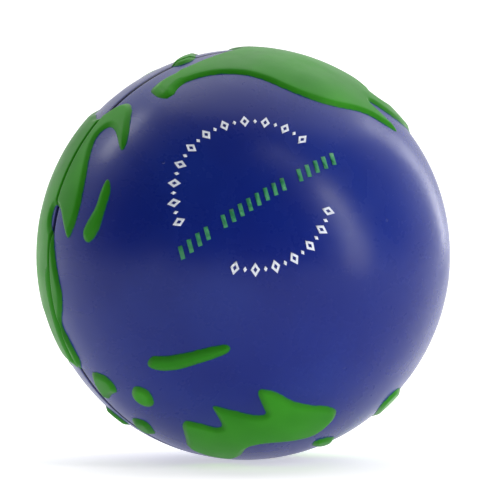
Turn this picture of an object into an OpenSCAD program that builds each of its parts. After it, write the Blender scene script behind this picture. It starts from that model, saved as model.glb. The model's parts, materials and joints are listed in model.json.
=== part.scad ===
// Globe stress ball: a soft foam ball with a dense skin in two mould halves, raised green lands on
// a blue sea, and a small round imprint of plain marks on the ocean side.
// The origin is the ball's centre and +Z is up. The two halves meet on the plane y = 0, and the
// front half is on the -Y side. The map's longitudes run east from 0 to 360.

/* [Ball] */
// Diameter over the blue sea
sea_d = 62.5; // [50:0.1:90]
// Height of the lands above the sea
land_relief = 0.5; // [0.3:0.1:1]
// Thickness of the dense skin around the soft core
skin_t = 1.2; // [0.8:0.1:2.5]

/* [Parting crease] */
// Width of the crease across the sea
crease_w = 0.6; // [0.3:0.1:1]
// Depth of the crease below the sea
crease_depth = 0.4; // [0.2:0.1:0.6]
// Gap that the crease leaves in a land that it crosses
land_gap = 0.4; // [0.3:0.1:1]

/* [Map] */
// Lean of the map's north pole from straight up towards -X
pole_lean = 39; // [0:1:60]
// Passes of corner rounding that soften every coast
coast_passes = 2; // [1:1:3]

/* [Imprint] */
// Radius of the two printed arcs
imprint_r = 11.8; // [8:0.1:14]
// Length of the printed row between the arcs
row_len = 27.4; // [16:0.2:28]
// Height of a printed mark
mark_h = 2; // [1:0.1:3]
// Width of a printed line
line_w = 0.4; // [0.3:0.05:0.8]
// Thickness of the ink film
ink_t = 0.1; // [0.05:0.05:0.2]

/* [Hidden] */
$fn = 96;
sea_r = sea_d / 2;
land_r = sea_r + land_relief;
core_r = sea_r - skin_t;
reach = 2 * land_r;
front = -1;
rear = 1;

foam_yellow = [0.93, 0.88, 0.72];
sea_blue = [0.10, 0.16, 0.50];
land_green = [0.27, 0.56, 0.24];
ink_white = [0.93, 0.95, 0.98];
ink_green = [0.16, 0.56, 0.38];

// Coasts, as [longitude, latitude] in degrees. A coast that the parting plane crosses runs on past
// longitude 90 or 270, and the plane trims it.
siberia_coast = [
    [80, 82], [104, 85], [170, 85], [172, 80], [160, 74], [150, 65], [143, 64], [142, 72],
    [132, 77], [118, 77], [109, 74], [114, 65], [115, 58], [112, 50], [105, 43], [100, 49],
    [94, 54], [86, 54], [76, 56], [72, 70]
];
china_coast = [
    [86, 48], [92, 47], [95, 38], [98, 30], [95, 24], [91, 21], [94, 15], [94, 8], [88, 6],
    [78, 8], [76, 30], [78, 50]
];
japan_coast = [
    [133, 59], [135, 54], [130, 49], [124, 43], [117, 41], [114, 45], [118, 48], [124, 51],
    [127, 55]
];
borneo_coast = [[97, 7], [105, 4], [104, -2], [99, -2], [93, -5], [93, 1]];
celebes_coast = [[113, 0], [117, -4], [114, -9], [109, -9], [107, -4]];
java_coast = [[98, -11], [104, -14], [98, -21], [93, -19], [93, -14]];
new_guinea_coast = [
    [125, 6], [121, 3], [127, -1], [138, -3], [147, -5], [148, -2], [143, 0], [136, 2],
    [129, 4]
];
australia_coast = [
    [145, -18], [149, -23], [150, -31], [159, -42], [156, -48], [142, -51], [134, -46],
    [127, -39], [120, -38], [109, -43], [103, -40], [101, -29], [108, -25], [117, -16],
    [121, -20], [125, -26], [128, -21], [130, -15], [134, -21], [140, -30], [142, -24]
];
north_america_front_coast = [
    [252, 2], [246, 9], [243, 18], [241, 14], [240, 4], [236, 10], [234, 17], [226, 26],
    [223, 37], [228, 50], [228, 58], [223, 66], [212, 70], [197, 68], [194, 73], [200, 77],
    [208, 79.5], [224, 79], [236, 77], [242, 74], [246, 69.5], [252, 66], [257, 62],
    [262, 58], [267, 53.5], [282, 50], [282, 32], [273, 27], [268, 20], [269, 12],
    [266, 11], [262, 19], [254, 19], [252, 14], [257, 10], [262, 9], [260, 4], [264, -2],
    [269, -6], [268, -9], [263, -6], [257, -1]
];
antarctica_coast = [
    [90, -71], [100, -77], [112, -80.5], [130, -83], [150, -84], [166, -80], [170, -72],
    [174, -65.5], [180, -62.5], [189, -62], [195, -64.5], [201, -69], [208, -76],
    [214, -81], [228, -79], [240, -73], [262, -71], [278, -71], [290, -75], [298, -69],
    [306, -75], [320, -78], [340, -72], [0, -70], [20, -69], [45, -66], [60, -67], [78, -65]
];
eurasia_rear_coast = [
    [104, 82], [80, 82], [60, 80], [36, 79], [24, 75], [14, 71], [4, 67], [-5, 62],
    [-2, 58], [4, 59], [8, 65], [13, 66], [12, 60], [6, 55], [-3, 55], [-6, 51], [-12, 48],
    [-11, 45], [-19, 44], [-19, 38], [-14, 37], [-9, 41], [-4, 45], [0, 44], [6, 37],
    [9, 39], [5, 46], [10, 44], [13, 37], [17, 41], [24, 42], [22, 38], [28, 38], [31, 36],
    [30, 31], [33, 26], [38, 15], [47, 18], [51, 24], [44, 31], [50, 28], [56, 27],
    [60, 22], [63, 11], [68, 18], [72, 23], [75, 14], [78, 8], [88, 6], [104, 6],
    [104, 40], [92, 46], [86, 49], [86, 54], [94, 54], [104, 56]
];
africa_coast = [
    [-14, 34], [-4, 36], [2, 37], [3, 33], [11, 32], [22, 31], [26, 29], [27, 24], [30, 16],
    [36, 11], [44, 11], [39, 3], [32, -4], [33, -14], [27, -20], [26, -26], [20, -33],
    [11, -35], [7, -27], [4, -17], [6, -8], [2, -1], [1, 4], [-4, 6], [-15, 5], [-23, 10],
    [-25, 18], [-20, 27]
];
north_america_rear_coast = [
    [256, 52], [268, 53], [276, 50], [288, 51.5], [296, 49], [298, 46], [291, 43],
    [294, 38], [284, 35], [277, 32], [273, 27], [268, 20], [256, 24]
];
baffin_coast = [
    [262, 73], [257.5, 70.5], [261, 67.5], [270, 65.5], [280, 64], [287, 60.5], [293, 60],
    [294, 63], [289, 67], [282, 71], [272, 73.5]
];
greenland_coast = [
    [312, 60], [318, 64.5], [328, 66], [335, 65], [335, 60], [331, 56], [325, 48],
    [318, 52], [314, 57]
];
tasmania_coast = [
    [128, -62], [130, -58], [136, -54.5], [141, -56], [143, -61], [138, -65], [131, -65]
];
south_america_coast = [
    [272, -8], [275, 0], [282, 0], [290, -3], [298, -8], [308, -12], [314, -18], [310, -26],
    [308, -34], [300, -38], [296, -46], [288, -52], [287, -61], [282, -65], [279, -58],
    [279, -46], [281, -34], [277, -24], [272, -16]
];
britain_coast = [
    [340, 50], [343, 52], [341, 54], [338, 56], [342, 58], [346, 56], [347, 53], [348, 50],
    [344, 50]
];
iceland_coast = [[341, 61], [344, 64], [350, 64], [350, 61], [344, 59]];
madagascar_coast = [[36, -13], [41, -11], [41, -18], [37, -26], [33, -23], [35, -16]];
sri_lanka_coast = [[66, 7], [69, 6], [69, 1], [65, 2]];
sumatra_coast = [[80, -7], [86, -11], [85, -18], [79, -15]];

// Printed marks, placed by their angle from east in the imprint's own plane
imprint_place = [181, 28];
upper_arc = [158, 6];
lower_arc = [-146, -55];
row_tilt = -10;
row_shift = -1.6;
row_words = [4, 8, 5];
bar_slant = 18;

// One pass of corner cutting on a closed outline
function cut_corners(p, passes) =
    passes == 0 ? p : cut_corners([
        for (i = [0:len(p) - 1])
            let (a = p[i], b = p[(i + 1) % len(p)])
            each [0.75 * a + 0.25 * b, 0.25 * a + 0.75 * b]
    ], passes - 1);

// A map point as seen from the ball's centre, on a plane at distance 1 that faces the place c:
// x runs south and y runs east
function seen_from_centre(p, c) =
    let (
        dlon = p[0] - c[0],
        depth = sin(c[1]) * sin(p[1]) + cos(c[1]) * cos(p[1]) * cos(dlon),
        north = cos(c[1]) * sin(p[1]) - sin(c[1]) * cos(p[1]) * cos(dlon),
        east = cos(p[1]) * sin(dlon)
    )
    [-north / depth, east / depth];

// Turns +Z to face a place on the leaning map
module facing(place) {
    rotate([0, -pole_lean, 0])
        rotate([0, 90 - place[1], place[0] + 90])
            children();
}

module shell(outer_r, inner_r) {
    difference() {
        sphere(r = outer_r);
        sphere(r = inner_r);
    }
}

// Everything on one side of the parting plane, set back from it
module half_space(side, set_back) {
    translate([-reach, side == front ? -2 * reach - set_back : set_back, -reach])
        cube(2 * reach);
}

// A solid cone of sight from the ball's centre through a coast
module coast_cone(coast, centre) {
    seen = [for (p = coast) seen_from_centre(p, centre)];
    facing(centre)
        translate([0, 0, reach])
            mirror([0, 0, 1])
                linear_extrude(height = reach, scale = 0)
                    polygon(cut_corners(reach * seen, coast_passes));
}

module land(coast, centre, side) {
    color(land_green)
        intersection() {
            shell(land_r, sea_r);
            coast_cone(coast, centre);
            half_space(side, land_gap / 2);
        }
}

module skin(side) {
    color(sea_blue)
        difference() {
            intersection() {
                shell(sea_r, core_r);
                half_space(side, 0);
            }
            rotate([90, 0, 0])
                rotate_extrude()
                    translate([sea_r - crease_depth, 0])
                        polygon([
                            [0, 0], [2 * crease_depth, crease_w], [2 * crease_depth, -crease_w]
                        ]);
        }
}

// A lozenge outline, as high as a mark, or a dot when it is solid
module lozenge(height, solid) {
    width = 0.7 * height;
    hole = solid ? 0 : 1 - 2 * line_w / width;
    difference() {
        polygon([[width / 2, 0], [0, height / 2], [-width / 2, 0], [0, -height / 2]]);
        if (hole > 0)
            polygon([
                [hole * width / 2, 0], [0, hole * height / 2],
                [-hole * width / 2, 0], [0, -hole * height / 2]
            ]);
    }
}

// Lozenges and dots by turns along an arc of the imprint
module arc_marks(span) {
    pitch = asin(0.75 * mark_h / imprint_r);
    count = floor(abs(span[1] - span[0]) / pitch);
    for (i = [0:count])
        rotate(span[0] + i * (span[1] - span[0]) / count)
            translate([imprint_r, 0])
                rotate(90)
                    lozenge(i % 2 == 0 ? mark_h : mark_h * 0.4, i % 2 == 1);
}

// Slanted bars in groups along a straight row
module row_marks() {
    slots = row_words[0] + row_words[1] + row_words[2] + 2;
    pitch = row_len / (slots - 1);
    first_gap = row_words[0];
    second_gap = row_words[0] + row_words[1] + 1;
    for (i = [0:slots - 1])
        if (i != first_gap && i != second_gap)
            translate([(i - (slots - 1) / 2) * pitch, 0])
                rotate(-bar_slant)
                    square([1.6 * line_w, mark_h], center = true);
}

// Ink that follows the ball under flat marks pressed on at the imprint's place
module ink() {
    intersection() {
        shell(sea_r + ink_t, sea_r);
        facing(imprint_place)
            rotate(90)
                linear_extrude(height = reach)
                    children();
    }
}

module foam_core() {
    color(foam_yellow)
        sphere(r = core_r);
}

module skin_front() {
    skin(front);
}

module skin_rear() {
    skin(rear);
}

module land_siberia_front() {
    land(siberia_coast, [118, 66], front);
}

module land_china_front() {
    land(china_coast, [88, 28], front);
}

module land_japan() {
    land(japan_coast, [124, 50], front);
}

module land_borneo() {
    land(borneo_coast, [98, 1], front);
}

module land_celebes() {
    land(celebes_coast, [112, -4], front);
}

module land_java() {
    land(java_coast, [98, -16], front);
}

module land_new_guinea() {
    land(new_guinea_coast, [134, 1], front);
}

module land_australia() {
    land(australia_coast, [130, -35], front);
}

module land_north_america_front() {
    land(north_america_front_coast, [240, 42], front);
}

module land_tasmania() {
    land(tasmania_coast, [136, -60], front);
}

module land_antarctica_front() {
    land(antarctica_coast, [0, -90], front);
}

module land_eurasia_rear() {
    land(eurasia_rear_coast, [42, 48], rear);
}

module land_africa() {
    land(africa_coast, [10, 4], rear);
}

module land_north_america_rear() {
    land(north_america_rear_coast, [276, 42], rear);
}

module land_baffin_front() {
    land(baffin_coast, [276, 67], front);
}

module land_baffin_rear() {
    land(baffin_coast, [276, 67], rear);
}

module land_greenland() {
    land(greenland_coast, [327, 59], rear);
}

module land_south_america() {
    land(south_america_coast, [290, -28], rear);
}

module land_antarctica_rear() {
    land(antarctica_coast, [0, -90], rear);
}

module land_britain() {
    land(britain_coast, [343, 54], rear);
}

module land_iceland() {
    land(iceland_coast, [346, 62], rear);
}

module land_madagascar() {
    land(madagascar_coast, [37, -18], rear);
}

module land_sri_lanka() {
    land(sri_lanka_coast, [67, 4], rear);
}

module land_sumatra() {
    land(sumatra_coast, [83, -13], rear);
}

module print_upper_arc() {
    color(ink_white)
        ink()
            arc_marks(upper_arc);
}

module print_middle_row() {
    color(ink_green)
        ink()
            rotate(row_tilt)
                translate([0, row_shift])
                    row_marks();
}

module print_lower_arc() {
    color(ink_white)
        ink()
            arc_marks(lower_arc);
}

foam_core();
skin_front();
skin_rear();
land_siberia_front();
land_china_front();
land_japan();
land_borneo();
land_celebes();
land_java();
land_new_guinea();
land_australia();
land_north_america_front();
land_tasmania();
land_antarctica_front();
land_eurasia_rear();
land_africa();
land_north_america_rear();
land_baffin_front();
land_baffin_rear();
land_greenland();
land_south_america();
land_antarctica_rear();
land_britain();
land_iceland();
land_madagascar();
land_sri_lanka();
land_sumatra();
print_upper_arc();
print_middle_row();
print_lower_arc();
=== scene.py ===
"""Globe stress ball: a soft foam ball with a blue moulded skin, raised green lands, a parting
crease and a small round imprint. Lengths are in metres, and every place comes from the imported
frame."""

import json
import math

import bpy
import numpy as np
from bpy.props import FloatProperty, FloatVectorProperty, IntProperty, PointerProperty
from mathutils import Matrix, Vector, noise
from mathutils.geometry import delaunay_2d_cdt

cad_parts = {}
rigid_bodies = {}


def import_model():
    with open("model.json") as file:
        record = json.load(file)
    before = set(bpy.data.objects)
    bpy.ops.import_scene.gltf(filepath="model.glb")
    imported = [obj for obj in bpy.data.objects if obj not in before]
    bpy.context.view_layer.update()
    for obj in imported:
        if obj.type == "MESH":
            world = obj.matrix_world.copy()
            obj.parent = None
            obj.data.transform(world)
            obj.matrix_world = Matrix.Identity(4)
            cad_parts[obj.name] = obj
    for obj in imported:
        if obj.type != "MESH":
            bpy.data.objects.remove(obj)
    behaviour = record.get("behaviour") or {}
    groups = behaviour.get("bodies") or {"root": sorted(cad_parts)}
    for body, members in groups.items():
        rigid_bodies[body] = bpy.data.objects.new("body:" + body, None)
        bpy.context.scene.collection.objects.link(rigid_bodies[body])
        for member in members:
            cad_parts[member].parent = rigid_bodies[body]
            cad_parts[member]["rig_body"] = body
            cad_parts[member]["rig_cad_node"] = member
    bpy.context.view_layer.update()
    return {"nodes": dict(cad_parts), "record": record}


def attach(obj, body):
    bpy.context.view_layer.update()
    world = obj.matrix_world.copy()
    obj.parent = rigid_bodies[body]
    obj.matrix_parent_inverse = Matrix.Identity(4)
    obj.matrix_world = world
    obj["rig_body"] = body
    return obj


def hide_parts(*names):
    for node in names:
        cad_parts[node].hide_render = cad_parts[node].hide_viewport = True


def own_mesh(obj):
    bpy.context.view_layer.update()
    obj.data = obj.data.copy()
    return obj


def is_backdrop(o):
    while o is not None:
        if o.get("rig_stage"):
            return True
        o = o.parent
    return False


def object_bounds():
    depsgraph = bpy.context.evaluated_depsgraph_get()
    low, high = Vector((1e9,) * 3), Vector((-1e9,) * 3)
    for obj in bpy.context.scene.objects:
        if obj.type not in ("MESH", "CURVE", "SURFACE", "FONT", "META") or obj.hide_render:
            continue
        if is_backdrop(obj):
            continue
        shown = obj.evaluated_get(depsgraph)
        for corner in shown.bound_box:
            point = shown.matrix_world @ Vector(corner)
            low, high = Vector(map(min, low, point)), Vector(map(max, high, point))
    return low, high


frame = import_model()

bl_info = {
    "name": "Globe stress ball",
    "version": (1, 0, 0),
    "blender": (4, 5, 0),
    "location": "View3D > Sidebar > Stress ball",
    "description": "Models a foam globe ball on its packed frame and sets a plain studio stage",
    "category": "Add Mesh",
}

MM = 0.001
BODY_OF = {n: body for body, nodes in frame["record"]["behaviour"]["bodies"].items() for n in nodes}
LANDS = sorted(n for n in BODY_OF if n.startswith("land_"))
PRINTS = sorted(n for n in BODY_OF if n.startswith("print_"))


def node_points(node):
    """A frame node's vertices as an array."""
    return np.array([v.co for v in frame["nodes"][node].data.vertices])


def reach_of(node):
    """How far a node reaches from the ball's centre."""
    return float(np.linalg.norm(node_points(node), axis=1).max())


SEA_R = reach_of("skin_front")
CORE_R = reach_of("foam_core")
LAND_R = reach_of("land_australia")
RIM = node_points("skin_rear")[np.abs(node_points("skin_rear")[:, 1]) < 0.001 * MM]
CREASE_DEPTH = SEA_R - float(np.linalg.norm(RIM, axis=1).max())
LAND_SETBACK = float(np.abs(node_points("land_siberia_front")[:, 1]).min())

FLOOR_GLOW = 0.55
TENT_FADE_START, TENT_FADE_END = -0.65, 0.35
OVERHEAD_POWER = 1.5
OVERHEAD_SPREAD = math.radians(70)
LENS_SHIFT_X, LENS_SHIFT_Y = 0.0104, 0.0096


class BallSizes(bpy.types.PropertyGroup):
    """Sizes of the ball's moulded surface."""

    shoulder: FloatProperty(
        name="Land shoulder", description="How far in from its coast a land reaches full height",
        default=1.05 * MM, min=0.3 * MM, max=2 * MM, unit="LENGTH", precision=5)
    crease_lip: FloatProperty(
        name="Crease lip", description="Half the width over which the skin rolls into the crease",
        default=0.9 * MM, min=0.3 * MM, max=2 * MM, unit="LENGTH", precision=5)
    land_lip: FloatProperty(
        name="Land lip", description="How far a land takes to roll down into the crease",
        default=0.35 * MM, min=0.1 * MM, max=1 * MM, unit="LENGTH", precision=5)
    unevenness: FloatProperty(
        name="Unevenness", description="Height of the slow waves in the moulded skin",
        default=0.05 * MM, min=0, max=0.2 * MM, unit="LENGTH", precision=5)
    wander: FloatProperty(
        name="Crease wander", description="How far the parting crease strays from its plane",
        default=0.3 * MM, min=0, max=0.6 * MM, unit="LENGTH", precision=5)
    coast_step: FloatProperty(
        name="Coast step", description="Spacing of the points along a coast",
        default=0.3 * MM, min=0.15 * MM, max=1 * MM, unit="LENGTH", precision=5)
    land_step: FloatProperty(
        name="Land step", description="Spacing of the points inside a land",
        default=0.45 * MM, min=0.2 * MM, max=1 * MM, unit="LENGTH", precision=5)
    skin_cuts: IntProperty(
        name="Skin cuts", description="Cuts across each side of the block that a skin starts from",
        default=95, min=20, max=140)


class BallColours(bpy.types.PropertyGroup):
    """Colours of the coats, the inks and the foam."""

    sea: FloatVectorProperty(
        name="Sea coat", description="Blue of the sea", subtype="COLOR",
        default=(0.004, 0.014, 0.180), min=0, max=1)
    sea_light: FloatVectorProperty(
        name="Thin sea coat", description="Blue where the coat is thin", subtype="COLOR",
        default=(0.008, 0.025, 0.225), min=0, max=1)
    land: FloatVectorProperty(
        name="Land coat", description="Green of the lands", subtype="COLOR",
        default=(0.020, 0.195, 0.008), min=0, max=1)
    land_light: FloatVectorProperty(
        name="Thick land coat", description="Green where the coat is thick", subtype="COLOR",
        default=(0.043, 0.300, 0.016), min=0, max=1)
    foam: FloatVectorProperty(
        name="Foam", description="Cream of the bare foam", subtype="COLOR",
        default=(0.85, 0.76, 0.52), min=0, max=1)
    white_ink: FloatVectorProperty(
        name="White ink", description="Ink of the two printed arcs", subtype="COLOR",
        default=(0.80, 0.83, 0.92), min=0, max=1)
    green_ink: FloatVectorProperty(
        name="Green ink", description="Ink of the printed row", subtype="COLOR",
        default=(0.020, 0.240, 0.090), min=0, max=1)


class StageSettings(bpy.types.PropertyGroup):
    """Camera and light of the studio stage."""

    azimuth: FloatProperty(
        name="Azimuth", description="Camera's turn round the ball from straight in front",
        default=math.radians(-20), subtype="ANGLE")
    elevation: FloatProperty(
        name="Elevation", description="Camera's height above the ball's middle",
        default=math.radians(4), subtype="ANGLE")
    distance: FloatProperty(
        name="Distance", description="Camera's distance from the ball's centre",
        default=3, min=0.3, max=6, unit="LENGTH")
    ball_share: FloatProperty(
        name="Ball share", description="Share of the picture's width that the sea fills",
        default=0.821, min=0.3, max=0.95)
    floor_radius: FloatProperty(
        name="Floor radius", description="Radius of the pale floor",
        default=6, min=1, max=20, unit="LENGTH")
    tent_light: FloatProperty(
        name="Tent light", description="Brightness of the white tent behind the ball",
        default=1.05, min=0, max=5)
    opening_light: FloatProperty(
        name="Opening light", description="Brightness of the room in front of the tent",
        default=0.05, min=0, max=5)


# ---------------------------------------------------------------- helpers

def sizes():
    """The ball's size settings."""
    return bpy.context.scene.ball_sizes


def colours():
    """The ball's colour settings."""
    return bpy.context.scene.ball_colours


def pick(obj):
    """Leaves one object selected and active."""
    bpy.ops.object.select_all(action="DESELECT")
    obj.select_set(True)
    bpy.context.view_layer.objects.active = obj


def points_of(obj):
    """An object's vertices as an array."""
    return np.array([v.co for v in obj.data.vertices])


def set_points(obj, points):
    """Writes an array back to an object's vertices."""
    obj.data.vertices.foreach_set("co", points.astype(np.float32).ravel())
    obj.data.update()


def keep_values(obj, name, values):
    """Stores one number per vertex for a material to read."""
    layer = obj.data.attributes.new(name, "FLOAT", "POINT")
    layer.data.foreach_set("value", np.asarray(values, np.float32))


def smooth_step(t):
    """0 to 1 with level ends."""
    t = np.clip(t, 0, 1)
    return t * t * (3 - 2 * t)


def hand_over(obj, node, material):
    """Gives a finished piece its body and its finish, and hides the node that it stands for."""
    body = BODY_OF[node]
    pick(obj)
    bpy.ops.object.shade_smooth()
    obj.data.materials.clear()
    obj.data.materials.append(material)
    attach(obj, body)
    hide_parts(node)
    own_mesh(obj)
    return obj


def settle(points):
    """Moves points as the moulding came out: the parting wanders and the skin is uneven."""
    s = sizes()
    turn = np.arctan2(points[:, 2], points[:, 0])
    wander = 0.55 * np.sin(2 * turn + 0.7) + 0.3 * np.sin(5 * turn + 2.1) + 0.15 * np.sin(11 * turn)
    moved = points.copy()
    moved[:, 1] += s.wander * wander * np.exp(-((points[:, 1] / (6 * MM)) ** 2))
    length = np.linalg.norm(points, axis=1)
    moved *= (length / np.linalg.norm(moved, axis=1))[:, None]
    ways = moved / length[:, None]
    broad = np.array([noise.noise(Vector(w) * 2.6) for w in ways])
    narrow = np.array([noise.noise(Vector(w) * 8.5 + Vector((7, 3, 5))) for w in ways])
    rise = s.unevenness * (broad + 0.3 * narrow)
    return moved + ways * rise[:, None]


# ---------------------------------------------------------------- materials

class Finish:
    """A procedural material under construction."""

    def __init__(self, name):
        self.material = bpy.data.materials.new(name)
        self.material.use_nodes = True
        self.tree = self.material.node_tree
        self.shader = self.tree.nodes["Principled BSDF"]
        self.place = self.add("ShaderNodeTexCoord").outputs["Object"]

    def add(self, kind, **values):
        """A node with its inputs or settings given by name."""
        node = self.tree.nodes.new(kind)
        for key, value in values.items():
            if key in node.inputs:
                self.feed(node.inputs[key], value)
            else:
                setattr(node, key, value)
        return node

    def feed(self, socket, value):
        """Links a socket, or sets its value."""
        if isinstance(value, bpy.types.NodeSocket):
            self.tree.links.new(value, socket)
        else:
            socket.default_value = value

    def noise(self, scale, detail=2.0, roughness=0.5, stretch=None):
        """Soft noise on the object's own coordinates, scale in cells a metre."""
        place = self.place
        if stretch is not None:
            place = self.add("ShaderNodeMapping", Vector=place, Scale=stretch).outputs[0]
        node = self.add("ShaderNodeTexNoise", Vector=place, Scale=scale, Detail=detail,
                        Roughness=roughness)
        return node.outputs["Fac"]

    def cells(self, scale):
        """Distance to scattered points."""
        return self.add("ShaderNodeTexVoronoi", Vector=self.place, Scale=scale).outputs["Distance"]

    def value(self, name):
        """A number stored on the mesh."""
        return self.add("ShaderNodeAttribute", attribute_name=name).outputs["Fac"]

    def ramp(self, source, low, high, to_low=0.0, to_high=1.0):
        """Maps low..high to to_low..to_high, held at the ends."""
        node = self.add("ShaderNodeMapRange", interpolation_type="SMOOTHSTEP")
        self.feed(node.inputs["Value"], source)
        for key, value in (("From Min", low), ("From Max", high), ("To Min", to_low),
                           ("To Max", to_high)):
            node.inputs[key].default_value = value
        return node.outputs["Result"]

    def math(self, operation, a, b):
        """Two numbers combined."""
        node = self.add("ShaderNodeMath", operation=operation)
        self.feed(node.inputs[0], a)
        self.feed(node.inputs[1], b)
        return node.outputs[0]

    def mix(self, share, a, b):
        """Two colours mixed."""
        node = self.add("ShaderNodeMix", data_type="RGBA")
        self.feed(node.inputs[0], share)
        self.feed(node.inputs[6], a if isinstance(a, bpy.types.NodeSocket) else (*a, 1))
        self.feed(node.inputs[7], b if isinstance(b, bpy.types.NodeSocket) else (*b, 1))
        return node.outputs[2]

    def bump(self, height, distance, strength=1.0, under=None):
        """Fine relief, height 0..1 over a distance in metres."""
        node = self.add("ShaderNodeBump", Height=height, Distance=distance, Strength=strength)
        if under is not None:
            self.feed(node.inputs["Normal"], under)
        return node.outputs["Normal"]

    def skin_grain(self):
        """The moulded skin's relief: orange peel, fine grain and a few pinholes."""
        peel = self.bump(self.noise(700, 2, 0.5), 0.012 * MM, 0.55)
        grain = self.bump(self.noise(4200, 3, 0.6), 0.004 * MM, 0.5, peel)
        holes = self.ramp(self.cells(210), 0.03, 0.07)
        kept = self.ramp(self.noise(90, 1), 0.56, 0.6, 1.0, 0.0)
        return self.bump(self.math("MAXIMUM", holes, kept), 0.06 * MM, 0.8, grain)


def sea_coat():
    """Blue semi-gloss coat on moulded foam skin."""
    f = Finish("sea_coat")
    c = colours()
    cloud = f.ramp(f.noise(45, 3), 0.3, 0.75)
    speck = f.ramp(f.noise(2600, 2), 0.66, 0.78, 0.0, 0.35)
    base = f.mix(cloud, c.sea, c.sea_light)
    base = f.mix(speck, base, [0.6 * v for v in c.sea])
    # Painted shade: the blue is darkened towards the bottom of the parting crease.
    crease_shade = f.ramp(f.value("crease"), 0.02, 0.28, 0.0, 0.97)
    f.feed(f.shader.inputs["Base Color"], f.mix(crease_shade, base, [0.22 * v for v in c.sea]))
    rub = f.noise(160, 4, 0.65, stretch=(1, 0.25, 1))
    f.feed(f.shader.inputs["Roughness"], f.ramp(rub, 0.35, 0.75, 0.25, 0.33))
    f.shader.inputs["Specular IOR Level"].default_value = 0.22
    f.feed(f.shader.inputs["Normal"], f.skin_grain())
    return f.material


def land_coat():
    """Green semi-gloss coat, with painted shade on the slope down to the sea."""
    f = Finish("land_coat")
    c = colours()
    cloud = f.ramp(f.noise(55, 3), 0.3, 0.72)
    base = f.mix(cloud, c.land, c.land_light)
    fray = f.math("MULTIPLY", f.ramp(f.noise(900, 3), 0.3, 0.7), 0.06)
    inland = f.math("SUBTRACT", f.value("inland"), fray)
    # Painted shade: the green is darkened on the slope down to the sea.
    slope = f.ramp(inland, 0.0, 0.55, 1.0, 0.0)
    shaded_green = [0.45 * v for v in c.land]
    base = f.mix(f.math("MULTIPLY", slope, 0.35), base, shaded_green)
    bare = f.ramp(inland, -0.03, 0.07, 0.85, 0.0)
    f.feed(f.shader.inputs["Base Color"], f.mix(bare, base, c.sea))
    rub = f.noise(140, 4, 0.65)
    f.feed(f.shader.inputs["Roughness"], f.ramp(rub, 0.35, 0.75, 0.34, 0.44))
    f.shader.inputs["Specular IOR Level"].default_value = 0.07
    f.feed(f.shader.inputs["Normal"], f.skin_grain())
    return f.material


def bare_foam():
    """Open-celled cream foam."""
    f = Finish("bare_foam")
    c = colours()
    cells = f.ramp(f.cells(1600), 0.1, 0.75)
    f.feed(f.shader.inputs["Base Color"], f.mix(cells, [0.5 * v for v in c.foam], c.foam))
    f.shader.inputs["Roughness"].default_value = 0.95
    f.feed(f.shader.inputs["Normal"], f.bump(cells, 0.3 * MM, 0.9))
    return f.material


def pad_ink(name, colour):
    """Thin pad-printed ink, a little uneven, with the blue just showing through."""
    f = Finish(name)
    thin = f.ramp(f.noise(1500, 3), 0.5, 0.8, 0.0, 0.4)
    f.feed(f.shader.inputs["Base Color"], f.mix(thin, colour, [0.55 * v for v in colour]))
    f.feed(f.shader.inputs["Roughness"], f.ramp(f.noise(900, 2), 0.3, 0.7, 0.45, 0.6))
    f.feed(f.shader.inputs["Normal"], f.bump(f.noise(3500, 2), 0.006 * MM, 0.6))
    return f.material


def floor_paper():
    """Plain pale paper."""
    f = Finish("floor_paper")
    f.feed(f.shader.inputs["Base Color"],
           f.mix(f.noise(30, 2), (0.74, 0.74, 0.74), (0.77, 0.77, 0.77)))
    f.shader.inputs["Emission Color"].default_value = (1, 1, 1, 1)
    f.shader.inputs["Emission Strength"].default_value = FLOOR_GLOW
    f.shader.inputs["Roughness"].default_value = 0.9
    f.shader.inputs["Specular IOR Level"].default_value = 0.1
    return f.material


# ---------------------------------------------------------------- foam and skins

def block_ball(name, radius, cuts):
    """A ball rounded out of an evenly cut block, so that it has no poles."""
    bpy.ops.object.select_all(action="DESELECT")
    bpy.ops.mesh.primitive_cube_add(size=2 * radius)
    obj = bpy.context.active_object
    obj.name = name
    bpy.ops.object.mode_set(mode="EDIT")
    bpy.ops.mesh.select_all(action="SELECT")
    bpy.ops.mesh.subdivide(number_cuts=cuts)
    bpy.ops.transform.tosphere(value=1)
    bpy.ops.object.mode_set(mode="OBJECT")
    points = points_of(obj)
    set_points(obj, points / np.linalg.norm(points, axis=1)[:, None] * radius)
    return obj


def skin_half(name, side):
    """Half of the skin: a halved ball given its thickness, with its rim rolled into the crease."""
    s = sizes()
    obj = block_ball(name, SEA_R, s.skin_cuts)
    bpy.ops.object.mode_set(mode="EDIT")
    bpy.ops.mesh.select_all(action="SELECT")
    bpy.ops.mesh.bisect(plane_co=(0, 0, 0), plane_no=(0, side, 0), clear_inner=True)
    for share in (0.1, 0.22, 0.36, 0.52, 0.7, 0.9, 1.15):
        bpy.ops.mesh.select_all(action="SELECT")
        bpy.ops.mesh.bisect(plane_co=(0, side * share * s.crease_lip, 0), plane_no=(0, 1, 0))
    bpy.ops.mesh.select_all(action="SELECT")
    bpy.ops.mesh.remove_doubles(threshold=0.01 * MM)
    bpy.ops.object.mode_set(mode="OBJECT")
    wall = obj.modifiers.new("wall", "SOLIDIFY")
    wall.thickness = SEA_R - CORE_R
    wall.offset = -1
    pick(obj)
    bpy.ops.object.modifier_apply(modifier=wall.name)
    points = points_of(obj)
    length = np.linalg.norm(points, axis=1)
    outer = length > (SEA_R + CORE_R) / 2
    near = 1 - np.clip(np.abs(points[:, 1]) / s.crease_lip, 0, 1)
    drop = np.where(outer, CREASE_DEPTH * near**2, 0)
    points *= ((length - drop) / length)[:, None]
    set_points(obj, settle(points))
    # Closeness to the crease, which the sea coat uses for its painted shade in the crease.
    keep_values(obj, "crease", np.where(outer, near**2, 0))
    return obj


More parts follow.
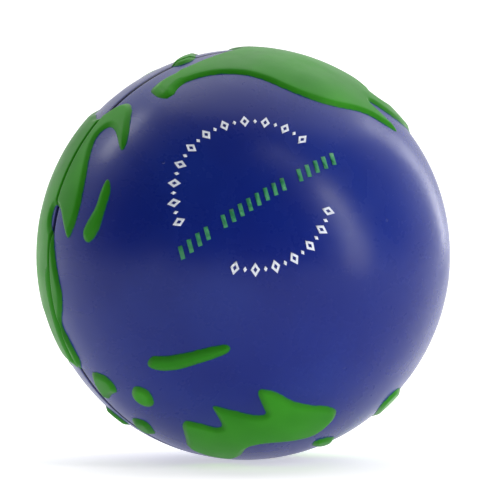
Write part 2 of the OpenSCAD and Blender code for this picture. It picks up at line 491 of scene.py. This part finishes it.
class BALL_OT_foam_core(bpy.types.Operator):
    """Make the soft foam core"""

    bl_idname = "ball.foam_core"
    bl_label = "Foam core"
    bl_options = {"REGISTER", "UNDO"}

    def execute(self, context):
        obj = block_ball("soft_core", CORE_R - 0.05 * MM, 40)
        points = points_of(obj)
        cells = np.array([noise.noise(Vector(p) * 900) for p in points])
        points *= (1 - 0.004 * np.abs(cells))[:, None]
        set_points(obj, settle(points))
        hand_over(obj, "foam_core", bare_foam())
        return {"FINISHED"}


class BALL_OT_sea_skins(bpy.types.Operator):
    """Make the two blue halves of the skin, which meet at the parting crease"""

    bl_idname = "ball.sea_skins"
    bl_label = "Sea skins"
    bl_options = {"REGISTER", "UNDO"}

    def execute(self, context):
        coat = sea_coat()
        for node, side in (("skin_front", -1), ("skin_rear", 1)):
            obj = skin_half(node.replace("skin", "sea"), side)
            hand_over(obj, node, coat)
        return {"FINISHED"}


# ---------------------------------------------------------------- lands

def coast_loops(node):
    """The closed outlines of a land's top, as points at the sea's radius."""
    mesh = frame["nodes"][node].data
    points = np.round(node_points(node) / (0.0005 * MM)).astype(np.int64)
    unique, index = np.unique(points, axis=0, return_inverse=True)
    index = index.ravel()
    radius = np.linalg.norm(unique * 0.0005 * MM, axis=1)
    high = radius > LAND_R - 0.05 * MM
    count = {}
    for face in mesh.polygons:
        corners = [int(index[v]) for v in face.vertices]
        if all(high[corners]):
            for a, b in zip(corners, corners[1:] + corners[:1]):
                if a != b:
                    count[(a, b)] = count.get((a, b), 0) + 1
    after = {}
    for a, b in count:
        if (b, a) not in count:
            after[a] = b
    loops = []
    while after:
        start, point = after.popitem()
        ring = [start]
        while point != start:
            ring.append(point)
            point = after.pop(point)
        ring = unique[ring] * 0.0005 * MM
        loops.append(ring / np.linalg.norm(ring, axis=1)[:, None] * SEA_R)
    return loops


def even_loop(ring, step):
    """A loop's points spaced evenly and its corners eased, with the ends of a parting cut kept."""
    after = np.roll(ring, -1, axis=0)
    cut = np.abs(np.abs(ring[:, 1]) - LAND_SETBACK) < 0.02 * MM
    points, on_cut = [], []
    for a, b, ca, cb in zip(ring, after, cut, np.roll(cut, -1)):
        count = max(1, round(float(np.linalg.norm(b - a)) / step))
        for i in range(count):
            p = a + (b - a) * i / count
            points.append(p / np.linalg.norm(p) * SEA_R)
            on_cut.append((ca and cb) or (i == 0 and ca))
    points, on_cut = np.array(points), np.array(on_cut)
    for _ in range(6):
        eased = (np.roll(points, 1, axis=0) + 2 * points + np.roll(points, -1, axis=0)) / 4
        points = np.where(on_cut[:, None], points, eased)
    return points / np.linalg.norm(points, axis=1)[:, None] * SEA_R, on_cut


def distance_to(points, starts, ends):
    """Each point's distance to the nearest of some segments."""
    best = np.full(len(points), 1.0)
    for a, b in zip(starts, ends):
        along = b - a
        t = np.clip(((points - a) @ along) / max(along @ along, 1e-18), 0, 1)
        best = np.minimum(best, np.linalg.norm(points - a - t[:, None] * along, axis=1))
    return best


def spread(centre, points):
    """Points on the sea laid out round a centre, as seen from the point opposite it."""
    up = centre / np.linalg.norm(centre)
    east = np.cross((0, 0, 1), up) if abs(up[2]) < 0.9 else np.cross((0, 1, 0), up)
    east /= np.linalg.norm(east)
    north = np.cross(up, east)
    scale = 2 / (1 + points @ up / SEA_R)
    flat = np.stack([points @ east, points @ north], axis=1) * scale[:, None]
    return flat, (up, east, north)


def gather(flat, axes):
    """The inverse of spread."""
    up, east, north = axes
    q = np.sum(flat**2, axis=1) / (4 * SEA_R**2)
    unit = ((1 - q) / (1 + q))[:, None] * up
    side = flat / (SEA_R * (1 + q))[:, None]
    return SEA_R * (unit + side[:, :1] * east + side[:, 1:] * north)


def inside(flat, ring):
    """Which flat points lie inside a flat ring."""
    result = np.zeros(len(flat), bool)
    for (ax, ay), (bx, by) in zip(ring, np.roll(ring, -1, axis=0)):
        crosses = (ay > flat[:, 1]) != (by > flat[:, 1])
        if crosses.any():
            x = ax + (flat[:, 1] - ay) * (bx - ax) / ((by - ay) or 1e-12)
            result ^= crosses & (flat[:, 0] < x)
    return result


def land_points(ring, flat_ring, axes, starts, ends):
    """Points inside a coast: rings that follow it closely, then an even field."""
    s = sizes()
    inward = np.roll(flat_ring, -1, axis=0) - np.roll(flat_ring, 1, axis=0)
    inward = np.stack([-inward[:, 1], inward[:, 0]], axis=1)
    inward /= np.linalg.norm(inward, axis=1)[:, None] + 1e-12
    area = np.sum(flat_ring[:, 0] * np.roll(flat_ring[:, 1], -1)
                  - np.roll(flat_ring[:, 0], -1) * flat_ring[:, 1])
    inward *= np.sign(area)
    kept = []
    for share in (0.1, 0.22, 0.36, 0.52, 0.7, 0.9, 1.15):
        offset = share * s.shoulder
        ringed = flat_ring + inward * offset
        ringed = ringed[inside(ringed, flat_ring)]
        far = distance_to(gather(ringed, axes), starts, ends)
        kept.append(ringed[far > 0.9 * offset])
    low, high = flat_ring.min(axis=0), flat_ring.max(axis=0)
    rows = np.arange(low[1], high[1], s.land_step * 0.87)
    field = [(x + (i % 2) * s.land_step / 2, y) for i, y in enumerate(rows)
             for x in np.arange(low[0], high[0], s.land_step)]
    field = np.array(field)
    field = field[inside(field, flat_ring)]
    far = distance_to(gather(field, axes), starts, ends)
    kept.append(field[far > 1.4 * s.shoulder])
    return np.concatenate(kept)


def land_sheet(node):
    """One land: a closed pad that swells from a thin coast to its full height."""
    s = sizes()
    foot = SEA_R - 0.03 * MM
    buried = SEA_R - 0.2 * MM
    all_points, all_faces, all_inland = [], [], []
    base = 0
    for loop in coast_loops(node):
        ring, on_cut = even_loop(loop, s.coast_step)
        centre = ring.mean(axis=0)
        flat_ring, axes = spread(centre, ring)
        ends = np.roll(ring, -1, axis=0)
        along_cut = on_cut & np.roll(on_cut, -1)
        inner = land_points(ring, flat_ring, axes, ring, ends)
        flat = np.concatenate([flat_ring, inner])
        count = len(flat_ring)
        made = delaunay_2d_cdt([Vector(p) for p in flat], [], [list(range(count))], 1, 1e-9)
        flat = np.array([tuple(p) for p in made[0]])
        faces = [list(f) for f in made[2]]
        points = gather(flat, axes)
        coast = distance_to(points, ring[~along_cut], ends[~along_cut])
        rise = coast / s.shoulder
        swell = 0.35 * np.sqrt(1 - (1 - np.clip(rise, 0, 1)) ** 2) + 0.65 * smooth_step(rise)
        if along_cut.any():
            cut = distance_to(points, ring[along_cut], ends[along_cut]) / s.land_lip
            swell *= np.sqrt(1 - (1 - np.clip(cut, 0, 1)) ** 2)
        ways = points / np.linalg.norm(points, axis=1)[:, None]
        top = ways * (foot + (LAND_R - foot) * swell)[:, None]
        total = len(top)
        edge_use = {}
        for f in faces:
            for a, b in zip(f, f[1:] + f[:1]):
                edge_use[(a, b)] = True
        rim = [(a, b) for a, b in edge_use if (b, a) not in edge_use]
        all_points += [top, ways * buried]
        all_faces += [[v + base for v in f] for f in faces]
        all_faces += [[v + base + total for v in reversed(f)] for f in faces]
        all_faces += [[b + base, a + base, a + base + total, b + base + total] for a, b in rim]
        all_inland += [np.clip(coast / (2 * MM), 0, 1), np.zeros(total)]
        base += 2 * total
    mesh = bpy.data.meshes.new(node.replace("land_", "green_"))
    mesh.from_pydata(settle(np.concatenate(all_points)), [], all_faces)
    obj = bpy.data.objects.new(mesh.name, mesh)
    bpy.context.scene.collection.objects.link(obj)
    keep_values(obj, "inland", np.concatenate(all_inland))
    pick(obj)
    bpy.ops.object.mode_set(mode="EDIT")
    bpy.ops.mesh.select_all(action="SELECT")
    bpy.ops.mesh.normals_make_consistent(inside=False)
    bpy.ops.object.mode_set(mode="OBJECT")
    return obj


class BALL_OT_lands(bpy.types.Operator):
    """Make the raised green lands"""

    bl_idname = "ball.lands"
    bl_label = "Lands"
    bl_options = {"REGISTER", "UNDO"}

    def execute(self, context):
        coat = land_coat()
        for node in LANDS:
            hand_over(land_sheet(node), node, coat)
        return {"FINISHED"}


# ---------------------------------------------------------------- imprint

class BALL_OT_prints(bpy.types.Operator):
    """Make the three printed films of the imprint"""

    bl_idname = "ball.prints"
    bl_label = "Prints"
    bl_options = {"REGISTER", "UNDO"}

    def execute(self, context):
        c = colours()
        white = pad_ink("white_ink", c.white_ink)
        green = pad_ink("green_ink", c.green_ink)
        for node in PRINTS:
            source = frame["nodes"][node]
            obj = source.copy()
            obj.data = source.data.copy()
            obj.name = node.replace("print_", "ink_")
            obj.parent = None
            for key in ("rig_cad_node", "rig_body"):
                if key in obj:
                    del obj[key]
            bpy.context.scene.collection.objects.link(obj)
            pick(obj)
            bpy.ops.object.mode_set(mode="EDIT")
            bpy.ops.mesh.select_all(action="SELECT")
            bpy.ops.mesh.remove_doubles(threshold=0.001 * MM)
            bpy.ops.object.mode_set(mode="OBJECT")
            set_points(obj, settle(points_of(obj)))
            row = node == "print_middle_row"
            hand_over(obj, node, green if row else white)
            bpy.ops.object.shade_smooth_by_angle(angle=math.radians(40))
        return {"FINISHED"}


# ---------------------------------------------------------------- stage

def view_axes(stage):
    """The camera's right, up and back directions."""
    a, e = stage.azimuth, stage.elevation
    back = Vector((math.sin(a) * math.cos(e), -math.cos(a) * math.cos(e), math.sin(e)))
    right = Vector((math.cos(a), math.sin(a), 0))
    return right, back.cross(right), back


def strip_light(name, stage, one_end, other_end, width, power):
    """A soft strip between two places, each given as right, up and back of the ball as seen."""
    axes = view_axes(stage)
    one, other = (sum((a * v for a, v in zip(axes, end)), Vector()) for end in (one_end, other_end))
    middle, along = (one + other) / 2, (other - one).normalized()
    away = (middle - along * middle.dot(along)).normalized()
    lamp = bpy.data.lights.new(name, "AREA")
    lamp.shape = "RECTANGLE"
    lamp.size, lamp.size_y = width, (other - one).length
    lamp.energy = power
    obj = bpy.data.objects.new(name, lamp)
    obj.matrix_world = Matrix((along.cross(away), along, away)).transposed().to_4x4()
    obj.location = middle
    bpy.context.scene.collection.objects.link(obj)
    return obj


def light_tent(stage, back):
    """A white tent behind and over the ball, open and darker on the camera's side."""
    world = bpy.data.worlds.new("light_tent")
    world.use_nodes = True
    nodes, links = world.node_tree.nodes, world.node_tree.links
    place = nodes.new("ShaderNodeTexCoord")
    facing = nodes.new("ShaderNodeVectorMath")
    facing.operation = "DOT_PRODUCT"
    facing.inputs[1].default_value = back
    fade = nodes.new("ShaderNodeMapRange")
    fade.interpolation_type = "SMOOTHSTEP"
    for key, value in (("From Min", TENT_FADE_START), ("From Max", TENT_FADE_END),
                       ("To Min", stage.tent_light), ("To Max", stage.opening_light)):
        fade.inputs[key].default_value = value
    links.new(place.outputs["Generated"], facing.inputs[0])
    links.new(facing.outputs["Value"], fade.inputs["Value"])
    links.new(fade.outputs["Result"], nodes["Background"].inputs["Strength"])
    nodes["Background"].inputs["Color"].default_value = (1, 1, 1, 1)
    return world


class BALL_OT_stage(bpy.types.Operator):
    """Set the pale floor, the soft studio light and the camera"""

    bl_idname = "ball.stage"
    bl_label = "Studio stage"
    bl_options = {"REGISTER", "UNDO"}

    def execute(self, context):
        scene = context.scene
        stage = scene.ball_stage
        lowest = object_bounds()[0].z
        bpy.ops.object.select_all(action="DESELECT")
        bpy.ops.mesh.primitive_circle_add(
            vertices=96, radius=stage.floor_radius, fill_type="NGON", location=(0, 0, lowest))
        floor = context.active_object
        floor.name = "floor"
        floor.data.materials.append(floor_paper())
        floor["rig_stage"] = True

        right, up, back = view_axes(stage)
        scene.world = light_tent(stage, back)
        scene.view_settings.view_transform = "Standard"
        strip_light("key_right", stage, (0.54, 0.5, 0.46), (0.72, -0.42, 0.14), 0.11, 4.0)
        strip_light("key_top", stage, (0.1, 0.7, 0.38), (0.55, 0.45, 0.42), 0.1, 0.5)
        strip_light("fill_left", stage, (-0.66, -0.05, 0.45), (-0.44, -0.54, 0.42), 0.24, 1.9)
        strip_light("rim_right", stage, (0.54, 0.6, -0.36), (0.4, 0.0, -0.72), 0.1, 0.8)
        strip_light("glint_left", stage, (-0.45, 0.62, -0.3), (-0.6, 0.42, -0.3), 0.12, 0.7)
        top = bpy.data.lights.new("overhead", "SUN")
        top.energy = OVERHEAD_POWER
        top.angle = OVERHEAD_SPREAD
        overhead = bpy.data.objects.new("overhead", top)
        from_top = up - 0.45 * back + 0.15 * right
        overhead.rotation_euler = from_top.to_track_quat("Z", "Y").to_euler()
        scene.collection.objects.link(overhead)

        lens = bpy.data.cameras.new("camera")
        spread_half = SEA_R / math.sqrt(stage.distance**2 - SEA_R**2)
        lens.lens = stage.ball_share * lens.sensor_width / 2 / spread_half
        lens.shift_x = LENS_SHIFT_X
        lens.shift_y = LENS_SHIFT_Y
        lens.clip_start, lens.clip_end = 0.05, 50
        camera = bpy.data.objects.new("camera", lens)
        camera.location = back * stage.distance
        camera.rotation_euler = back.to_track_quat("Z", "Y").to_euler()
        scene.collection.objects.link(camera)
        scene.camera = camera
        return {"FINISHED"}


class BALL_PT_panel(bpy.types.Panel):
    """Sizes, colours and steps of the stress ball"""

    bl_idname = "BALL_PT_panel"
    bl_label = "Stress ball"
    bl_space_type = "VIEW_3D"
    bl_region_type = "UI"
    bl_category = "Stress ball"

    def draw(self, context):
        scene = context.scene
        for group in (scene.ball_sizes, scene.ball_colours, scene.ball_stage):
            for key in group.bl_rna.properties.keys():
                if key not in ("rna_type", "name"):
                    self.layout.prop(group, key)
        for step in STEPS:
            self.layout.operator(step.bl_idname)


STEPS = (BALL_OT_foam_core, BALL_OT_sea_skins, BALL_OT_lands, BALL_OT_prints, BALL_OT_stage)
CLASSES = (BallSizes, BallColours, StageSettings, *STEPS, BALL_PT_panel)


def register():
    """Registers the classes and hangs the settings on the scene."""
    for c in CLASSES:
        bpy.utils.register_class(c)
    bpy.types.Scene.ball_sizes = PointerProperty(type=BallSizes)
    bpy.types.Scene.ball_colours = PointerProperty(type=BallColours)
    bpy.types.Scene.ball_stage = PointerProperty(type=StageSettings)


def unregister():
    """Takes the settings and the classes away again."""
    for key in ("ball_sizes", "ball_colours", "ball_stage"):
        delattr(bpy.types.Scene, key)
    for c in reversed(CLASSES):
        bpy.utils.unregister_class(c)


def main():
    """Registers the settings, makes every piece in order and sets the stage."""
    register()
    bpy.ops.ball.foam_core()
    bpy.ops.ball.sea_skins()
    bpy.ops.ball.lands()
    bpy.ops.ball.prints()
    bpy.ops.ball.stage()


if __name__ == "__main__":
    main()
